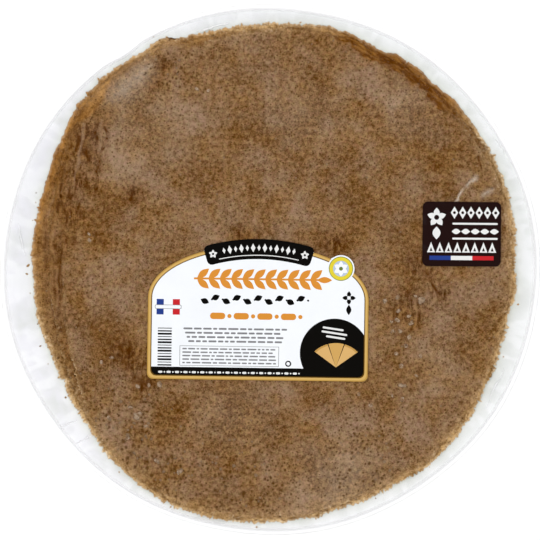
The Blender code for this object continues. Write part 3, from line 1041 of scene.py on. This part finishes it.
store(top_film, weld=1 - ramp(reach, rim - MILK_START, rim - MILK_END))
thicken(top_film, FILM_THICKNESS)
top_film.data.materials.append(film_material("film_over", haze_amount=0.012, folds=FOLD_HIGHLIGHTS))
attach(top_film, "root")
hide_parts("top_film")


# Drops of damp
# Small pale drops that hang under the top film, over the stack. Those listed lie where the
# photograph shows them, and most have another one near them.

# Those listed: x, y and size in mm
DROPS = (
    (93.4, -18.8, 1.9),
    (79.2, -25.6, 1.2),
    (78.6, -31.2, 1.4),
    (87.2, -33, 1.5),
    (80.4, -38, 1.1),
    (75.5, -38, 1.1),
    (86, -41.7, 1.2),
    (70.5, -20, 1),
    (92.8, -53.5, 1.1),
    (81, -59.7, 1.3),
    (81, -71.5, 1.5),
    (81.7, -80.2, 1.3),
    (-104.3, -57.2, 1),
    (-82, -72.1, 1.4),
    (-86.4, -85.1, 1.2),
    (-82.6, -91.3, 1.7),
    (-77, -96.9, 1.5),
    (-88.2, -104.3, 1.3),
    (-70.2, -118, 1.3),
    (-56, -124.8, 2),
    (-68.4, -70.9, 1.6),
    (-38, 110.8, 1.1),
    (-112, 22, 0.9),
    (62, -84, 1.1),
)
DROP_SPREAD = 9
DROP_LIMIT = 138
DROP_SIZE = 0.85
DROP_KNOB = 0.5
DROP_SINK = 0.12 * MM

rng = np.random.default_rng(31)
spots = list(DROPS)
for x, y, length in DROPS:
    aside = rng.normal(0, DROP_SPREAD, 2)
    if math.hypot(x + aside[0], y + aside[1]) < DROP_LIMIT:
        spots.append((x + aside[0], y + aside[1], rng.uniform(0.7, 1.2)))
drops = []
for x, y, length in spots:
    place = np.array([[x, y]]) * MM
    under = film_height(*polar(place)) - sink(*place.T) - FILM_THICKNESS - DROP_SINK
    spin, scale = rng.uniform(0, math.pi), (1.5, rng.uniform(0.9, 1.4), 0.16)
    place = (*place[0], under[0])
    size = length * DROP_SIZE * MM
    drops.append(pellet(place, size, spin, scale, DROP_KNOB, 0.5 * MM, length * 7, axes=2))
damp_drops = joined(drops, "damp_drops")
material, shader, place = new_material("drop_damp")
cloud = place.grain(1.6 * MM)
feed(shader, "Base Color", cloud.blend((0.3, 0.2, 0.125), (0.62, 0.455, 0.315)))
feed(shader, "Roughness", 0.3 + cloud * 0.2)
feed(shader, "Specular IOR Level", 0.03)
feed(shader, "Alpha", cloud.between(0.25, 0.6) * 0.46)
damp_drops.data.materials.append(material)
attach(damp_drops, "root")


# Front label
# A die-cut label of gloss-varnished white paper, stuck on the film: an arch with a gold border, a
# dark bowed banner on its top and a round seal. Its print is fields of colour and ornament.

# Sizes in mm, from the label's middle
FRONT_SIDE_TOP = 6.2
FRONT_ARCH = 33.5
FRONT_CORNER = 3.4
BANNER_HALF_WIDTH = 35.2
BANNER_TOP = 43.2
BANNER_DEPTH = 12.4
BANNER_BEND = 120.0
SEAL_MIDDLE = (50.8, 25.6)
SEAL_RADIUS = 8.4
FAN_MIDDLE = (48.5, -35.4)
FRONT_TURN = 0.8
LABEL_MESH = 4.0
LABEL_THICKNESS = 0.16 * MM
LABEL_GAP = 0.03 * MM

WHITE = (0.8, 0.82, 0.85)
CHALK = (0.72, 0.72, 0.71)
GREY = (0.2, 0.2, 0.21)
BLACK = (0.004, 0.0035, 0.003)
GOLD = (0.45, 0.26, 0.06)
PALE_GOLD = (0.58, 0.37, 0.115)
BRONZE = (0.1, 0.05, 0.006)
ORANGE = (0.62, 0.245, 0.035)
YELLOW = (0.68, 0.56, 0.04)
OLIVE = (0.12, 0.17, 0.04)
BLUE = (0.02, 0.045, 0.22)
PALE_BLUE = (0.42, 0.5, 0.62)
RED = (0.5, 0.02, 0.025)
AMBER = (0.46, 0.26, 0.07)
TAN = (0.56, 0.33, 0.1)
PALE_TAN = (0.62, 0.38, 0.14)


def placed(points, x, y, tilt):
    """Points turned anticlockwise by tilt degrees and then moved to a place."""
    turn = math.radians(tilt)
    cos, sin = math.cos(turn), math.sin(turn)
    return [(x + px * cos - py * sin, y + px * sin + py * cos) for px, py in points]


def disc(x, y, radius, steps=40):
    """A round field of print, in millimetres on the label."""
    turns = [math.tau * step / steps for step in range(steps)]
    return [(x + radius * math.cos(turn), y + radius * math.sin(turn)) for turn in turns]


def bar(x, y, width, height, corner=0.0, tilt=0.0):
    """A bar round a middle point, with rounded corners and turned anticlockwise by tilt."""
    corner = min(corner, width / 2, height / 2)
    points = []
    for quarter, (side, end) in enumerate(((1, 1), (-1, 1), (-1, -1), (1, -1))):
        for step in range(4 if corner else 1):
            turn = math.radians(90 * quarter + 30 * step)
            px = side * (width / 2 - corner) + corner * math.cos(turn)
            points.append((px, end * (height / 2 - corner) + corner * math.sin(turn)))
    return placed(points, x, y, tilt)


def leaf(x, y, length, width, tilt, steps=9):
    """A pointed grain or petal that grows from a point in a direction."""
    upper = [
        (length * step / steps, width / 2 * math.sin(math.pi * step / steps))
        for step in range(steps + 1)
    ]
    return placed([(px, -py) for px, py in reversed(upper[1:-1])] + upper, x, y, tilt)


def flower(x, y, radius, petals, colour, heart):
    """A simple flower: its petals and a round heart."""
    tilts = [90 + 360 * petal / petals for petal in range(petals)]
    shapes = [(leaf(x, y, radius, radius * 0.62, tilt), colour) for tilt in tilts]
    return shapes + [(disc(x, y, radius * 0.26, 16), heart)]


def arch(inset):
    """The outline of the label's arched plate, drawn in by an inset."""
    half = FRONT_HALF_WIDTH / MM - inset
    foot = inset - FRONT_BELOW / MM
    corner = FRONT_CORNER
    points = []
    for side, start in ((-1, 180), (1, 270)):
        for step in range(5):
            turn = math.radians(start + 22.5 * step)
            px = side * (half - corner) + corner * math.cos(turn)
            points.append((px, foot + corner + corner * math.sin(turn)))
    rise = FRONT_ARCH - inset
    turns = [math.pi * step / 60 for step in range(61)]
    return points + [
        (half * math.cos(turn), FRONT_SIDE_TOP + rise * math.sin(turn)) for turn in turns
    ]


def on_banner(along, across):
    """A point of the banner: along its bow from the middle, and up from its lower edge."""
    radius = BANNER_BEND - BANNER_DEPTH + across
    turn = along / BANNER_BEND
    return radius * math.sin(turn), BANNER_TOP - BANNER_BEND + radius * math.cos(turn)


def banner_shape():
    """The bowed banner's outline."""
    outline = bar(0, BANNER_DEPTH / 2, 2 * BANNER_HALF_WIDTH, BANNER_DEPTH, 3.0)
    points = []
    for (x0, y0), (x1, y1) in sides_of(outline):
        parts = max(1, int(abs(x1 - x0) / 3))
        points += [
            on_banner(x0 + (x1 - x0) * s / parts, y0 + (y1 - y0) * s / parts) for s in range(parts)
        ]
    return points


def sides_of(outline):
    """The sides of an outline, each from one point to the next."""
    return zip(outline, outline[1:] + outline[:1])


def inside(point, outline):
    """True where a point lies inside an outline."""
    x, y = point
    count = 0
    for (x0, y0), (x1, y1) in sides_of(outline):
        if (y0 > y) != (y1 > y) and x < (x1 - x0) * (y - y0) / (y1 - y0) + x0:
            count += 1
    return count % 2 == 1


def joined_outline(parts, steps):
    """The outline round several overlapping shapes, seen from the label's middle."""
    points = []
    for step in range(steps):
        turn = math.tau * step / steps
        near, far = 0.0, 150.0
        for _ in range(30):
            half = (near + far) / 2
            point = (half * math.cos(turn), half * math.sin(turn))
            if any(inside(point, part) for part in parts):
                near = half
            else:
                far = half
        points.append((near * math.cos(turn), near * math.sin(turn)))
    return points


def spread(start, pitch, count):
    """Evenly spaced places along a row or a column."""
    return [start + step * pitch for step in range(count)]


def words(left, right, y, height, widths, gap, rng):
    """A line of plain grey bars, as long and as far apart as words of print."""
    shapes = []
    x = left
    while x < right - widths[0]:
        width = min(rng.uniform(*widths), right - x)
        shapes.append((bar(x + width / 2, y, width, height, height * 0.45), GREY))
        x += width + gap
    return shapes


def print_label(name, outline, shapes, middle, turn):
    """A label as one flat sheet whose faces are cut along its print, each with its colour.

    Later shapes lie over earlier ones. A shape may name the shape that it stays within. The
    sheet then follows the film that it is stuck on.
    """
    corners = []
    fields = []
    for points in [outline] + [shape[0] for shape in shapes]:
        if sum(x0 * y1 - x1 * y0 for (x0, y0), (x1, y1) in sides_of(points)) < 0:
            points = points[::-1]
        fields.append(list(range(len(corners), len(corners) + len(points))))
        corners += [Vector(point) for point in points]
    reach = max(max(abs(x), abs(y)) for x, y in outline)
    for gx in np.arange(-reach, reach, LABEL_MESH):
        for gy in np.arange(-reach, reach, LABEL_MESH):
            if inside((gx, gy), outline):
                corners.append(Vector((gx + 0.013, gy + 0.017)))
    flat, _, faces, _, _, owners = delaunay_2d_cdt(corners, [], fields, 1, 1e-4, True)
    kept, inks = [], []
    for face, owned in zip(faces, owners):
        if 0 not in owned:
            continue
        ink = WHITE
        for number in sorted(owned, reverse=True)[:-1]:
            _, colour, *within = shapes[number - 1]
            if not within or within[0] + 1 in owned:
                ink = colour
                break
        kept.append(face)
        inks.append((*ink, 1.0))
    points = placed([(point.x * MM, point.y * MM) for point in flat], *middle, -turn)
    piece = new_piece(name, [(x, y, 0.0) for x, y in points], kept)
    ink_layer = piece.data.attributes.new("ink", "FLOAT_COLOR", "CORNER")
    ink_layer.data.foreach_set("color", np.repeat(inks, 3, axis=0).ravel())
    places = read_points(piece)
    places[:, 2] = film_height(*polar(places)) + ripples(places[:, :2])
    places[:, 2] += LABEL_GAP + LABEL_THICKNESS
    write_points(piece, places)
    pick(piece)
    bpy.ops.object.mode_set(mode="EDIT")
    bpy.ops.mesh.select_all(action="SELECT")
    bpy.ops.mesh.delete_loose()
    bpy.ops.object.mode_set(mode="OBJECT")
    thicken(piece, LABEL_THICKNESS)
    return piece


def label_material(name):
    """Varnished label paper: its printed colours, a faint grain of ink and a soft gloss."""
    material, shader, place = new_material(name)
    ink = place.make("ShaderNodeVertexColor", layer_name="ink")
    grain = place.grain(0.35 * MM, 2.0, 0.6)
    cloud = place.grain(14 * MM)
    worn = (0.93 + grain * 0.1 + (cloud - 0.5) * 0.08).clamped()
    feed(shader, "Base Color", ink.times(worn.blend((0, 0, 0), (1, 1, 1))))
    feed(shader, "Roughness", 0.2 + grain * 0.08)
    feed(shader, "Specular IOR Level", 0.2)
    feed(shader, "Normal", grain.relief(0.03 * MM, 0.25))
    return material


label_rng = np.random.default_rng(21)
seal = disc(*SEAL_MIDDLE, SEAL_RADIUS, 64)
front_outline = joined_outline([arch(0.0), banner_shape(), seal], 720)
PLATE = 3
front = [
    (arch(0.0), GOLD),
    (arch(0.7), PALE_GOLD),
    (arch(2.0), BRONZE),
    (arch(2.6), WHITE),
    (disc(47.5, -26.7, 21.4, 72), BLACK, PLATE),
    (bar(0, -39.6, 133.0, 6.4), BLACK, PLATE),
]

# The ear of grain across the plate, with leaves that lean both ways
front.append((bar(-1.0, 18.4, 78, 1.2, 0.5), ORANGE))
for x in spread(-38.0, 7.0, 11):
    front += [(leaf(x, 18.4, 9.6, 4.2, tilt), ORANGE) for tilt in (-40, 40)]
front.append((leaf(36.0, 18.4, 9.5, 3.8, 0), ORANGE))

# A dark row of grains and an orange row of bars and dots under it
for step, x in enumerate(spread(-33.0, 6.6, 10)):
    front.append((leaf(x - 2.6, 5.6, 5.6, 3.6, 24 if step % 2 else -24), BLACK))
    front.append((disc(x + 4.4, 5.6, 0.65, 12), BLACK))
for x in spread(-25.0, 14.6, 4):
    front.append((bar(x, -4.6, 9.4, 4.0, 1.8), ORANGE))
    front.append((disc(x + 7.3, -4.6, 1.3, 16), ORANGE))

# Fine grey lines, a framed block of them, a column of stripes and a pale row along the foot
for row, y in enumerate(spread(-12.6, -2.6, 4)):
    front += words(-46.0 + row, 18.0 - row, y, 1.15, (2.2, 6.5), 0.9, label_rng)
front.append((bar(-17.5, -29.4, 61.4, 12.4), GREY))
front.append((bar(-17.5, -29.4, 60.8, 11.8), WHITE))
for y in spread(-25.1, -2.15, 5):
    front += words(-46.5, 11.5, y, 0.9, (1.6, 6.0), 0.8, label_rng)
for step, y in enumerate(spread(-12.6, -1.75, 14)):
    front.append((bar(-57.5, y, 8.6, 0.5 + 0.35 * (step % 3)), BLACK))
for x in spread(-60.0, 5.2, 17):
    front.append((bar(x, -39.6, 2.6, 1.3, 0.6), CHALK))
    front.append((disc(x + 2.6, -39.6, 0.5, 10), CHALK))

# Three-colour stripes under a small frame, a small sprig and a ring
for x, colour in ((-60.6, BLUE), (-55.6, WHITE), (-50.6, RED)):
    front.append((bar(x, 0.6, 4.4, 9.6), colour))
front.append((bar(-55.6, 0.6, 16.4, 2.6, 0.8), GREY))
front.append((bar(-55.6, 0.6, 15.8, 2.0, 0.7), WHITE))
front += flower(56.0, 7.6, 4.2, 4, BLACK, WHITE)
front.append((leaf(56.0, 3.4, 6.4, 3.2, -90), BLACK))
front.append((disc(19.0, -33.6, 1.9, 24), BLACK))
front.append((disc(19.0, -33.6, 1.1, 20), WHITE))

# Folded galettes in a fan on the dark disc, under three slanted lines
fan_x, fan_y = FAN_MIDDLE
for turn, edge_colour, colour in ((40, AMBER, PALE_TAN), (74, TAN, TAN), (108, AMBER, PALE_TAN)):
    leans = [math.radians(turn + step * 4) for step in range(9)]
    fan = [FAN_MIDDLE]
    fan += [(fan_x + 17.5 * math.cos(lean), fan_y + 15 * math.sin(lean)) for lean in leans]
    inner = [(fan_x + (px - fan_x) * 0.93, fan_y + (py - fan_y) * 0.93) for px, py in fan]
    front += [(fan, edge_colour, PLATE), (inner, colour, PLATE)]
for row, length in enumerate((13.0, 16.0, 12.0)):
    front.append((bar(46.5 + row * 0.8, -11.6 - row * 2.7, length, 1.2, 0.5, -8), CHALK))

# The banner: dark, with a fine white line and a row of lozenges between two flowers
front.append((banner_shape(), BLACK))
for along in np.linspace(-22.8, 22.8, 13):
    size = 2.7 if round(along / 3.8) % 2 else 1.9
    lozenge = [on_banner(along - size * 0.55, 7.0), on_banner(along, 7.0 - size)]
    lozenge += [on_banner(along + size * 0.55, 7.0), on_banner(along, 7.0 + size)]
    front.append((lozenge, CHALK))
fine_line = [on_banner(along, 2.2) for along in np.linspace(-27, 27, 19)]
fine_line += [on_banner(along, 2.7) for along in np.linspace(27, -27, 19)]
front.append((fine_line, CHALK))
for along in (-30.2, 30.2):
    front += flower(*on_banner(along, 6.4), 2.7, 5, CHALK, BLACK)

# The seal: a white rim, a yellow ground and a blue and white flower
front.append((seal, WHITE))
front.append((disc(*SEAL_MIDDLE, SEAL_RADIUS - 0.9, 48), OLIVE))
front.append((disc(*SEAL_MIDDLE, SEAL_RADIUS - 1.3, 48), YELLOW))
front.append((disc(*SEAL_MIDDLE, 4.9, 40), PALE_BLUE))
front += flower(*SEAL_MIDDLE, 4.7, 6, WHITE, OLIVE)

front_label = print_label("front_label_print", front_outline, front, FRONT_MIDDLE, FRONT_TURN)
front_label.data.materials.append(label_material("label_front_ink"))
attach(front_label, "root")
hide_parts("front_label")


# Side label
# A small square label of the same varnished paper, printed nearly black: white rows of ornament
# beside a flower, over a three-colour stripe.

SIDE_TURN = 0.5
SIDE_CORNER = 3.0
UMBER = (0.014, 0.0055, 0.005)

side_outline = bar(0, 0, 2 * SIDE_HALF_SIZE[0] / MM, 2 * SIDE_HALF_SIZE[1] / MM, SIDE_CORNER)
side = [(side_outline, UMBER)]
side += flower(-15.6, 10.2, 6.0, 5, CHALK, UMBER)
side.append((leaf(-15.6, 4.6, 8.0, 5.0, -90), CHALK))
for x in spread(-4.6, 5.1, 6):
    side.append(([(x - 2.3, 13.2), (x, 9.4), (x + 2.3, 13.2), (x, 17.0)], CHALK))
    side.append((disc(x, 13.2, 0.9, 12), UMBER))
side.append((bar(8.2, 6.4, 28.0, 1.2, 0.5), CHALK))
side += [(leaf(x - 2.7, 1.6, 5.6, 3.4, 0), CHALK) for x in spread(-3.6, 5.9, 5)]
side.append((bar(8.2, -2.8, 28.0, 1.2, 0.5), CHALK))
for x in spread(-18.9, 5.4, 8):
    side.append(([(x - 2.5, -11.4), (x + 2.5, -11.4), (x, -5.0)], CHALK))
    side.append(([(x - 0.9, -10.6), (x + 0.9, -10.6), (x, -8.2)], UMBER))
for x, colour in ((-13.2, BLUE), (0.0, CHALK), (13.2, RED)):
    side.append((bar(x, -14.8, 13.2, 2.6), colour))

side_label = print_label("side_label_print", side_outline, side, SIDE_MIDDLE, SIDE_TURN)
side_label.data.materials.append(label_material("label_side_ink"))
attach(side_label, "root")
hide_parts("side_label")


# Stage
# A plain pale floor, four soft lamps round the pack and a pale room that is darker overhead, so
# that the film mirrors nothing bright towards an eye straight above.

bpy.ops.mesh.primitive_plane_add(size=6.0, location=(0, 0, 0))
floor = bpy.context.object
floor.name = "floor"
material, shader, place = new_material("pale_floor")
dust = place.grain(0.4)
feed(shader, "Base Color", dust.blend((0.9, 0.9, 0.9), (0.92, 0.92, 0.92)))
feed(shader, "Roughness", 0.85 + dust * 0.1)
floor.data.materials.append(material)

LAMP_DISTANCE = 1.9
LAMP_HEIGHT = 1.9
LAMP_SIZE = 2.0
LAMP_POWERS = (27.0, 37.0, 27.0, 26.0)
for number, power in enumerate(LAMP_POWERS):
    turn = math.radians(45 + 90 * number)
    lamp_data = bpy.data.lights.new("lamp", "AREA")
    lamp_data.shape = "SQUARE"
    lamp_data.size = LAMP_SIZE
    lamp_data.energy = power
    lamp = bpy.data.objects.new("lamp", lamp_data)
    lamp.location = (LAMP_DISTANCE * math.cos(turn), LAMP_DISTANCE * math.sin(turn), LAMP_HEIGHT)
    lamp.rotation_euler = lamp.location.to_track_quat("Z", "Y").to_euler()
    lamp.visible_glossy = False
    bpy.context.collection.objects.link(lamp)

world = bpy.data.worlds.new("room")
bpy.context.scene.world = world
world.use_nodes = True
room = Ink(world.node_tree).make("ShaderNodeTexCoord")
ground = world.node_tree.nodes["Background"]
overhead = room.part(2).between(0.72, 0.93)
feed(ground, "Color", overhead.blend((0.8, 0.8, 0.8), (0.04, 0.04, 0.04)))
feed(ground, "Strength", 0.45)


# Camera
# It looks straight down, as in the photograph, from far enough for a long lens.

CAMERA_HEIGHT = 1.1
FRAME_WIDTH = 335.6 * MM
SENSOR_WIDTH = 36.0
lens_data = bpy.data.cameras.new("view")
lens_data.sensor_width = SENSOR_WIDTH
lens_data.lens = SENSOR_WIDTH * CAMERA_HEIGHT / FRAME_WIDTH
lens_data.dof.use_dof = False
camera = bpy.data.objects.new("view", lens_data)
camera.location = (-0.1 * MM, -0.2 * MM, CAMERA_HEIGHT)
bpy.context.collection.objects.link(camera)
bpy.context.scene.camera = camera
bpy.context.scene.view_settings.view_transform = "Standard"
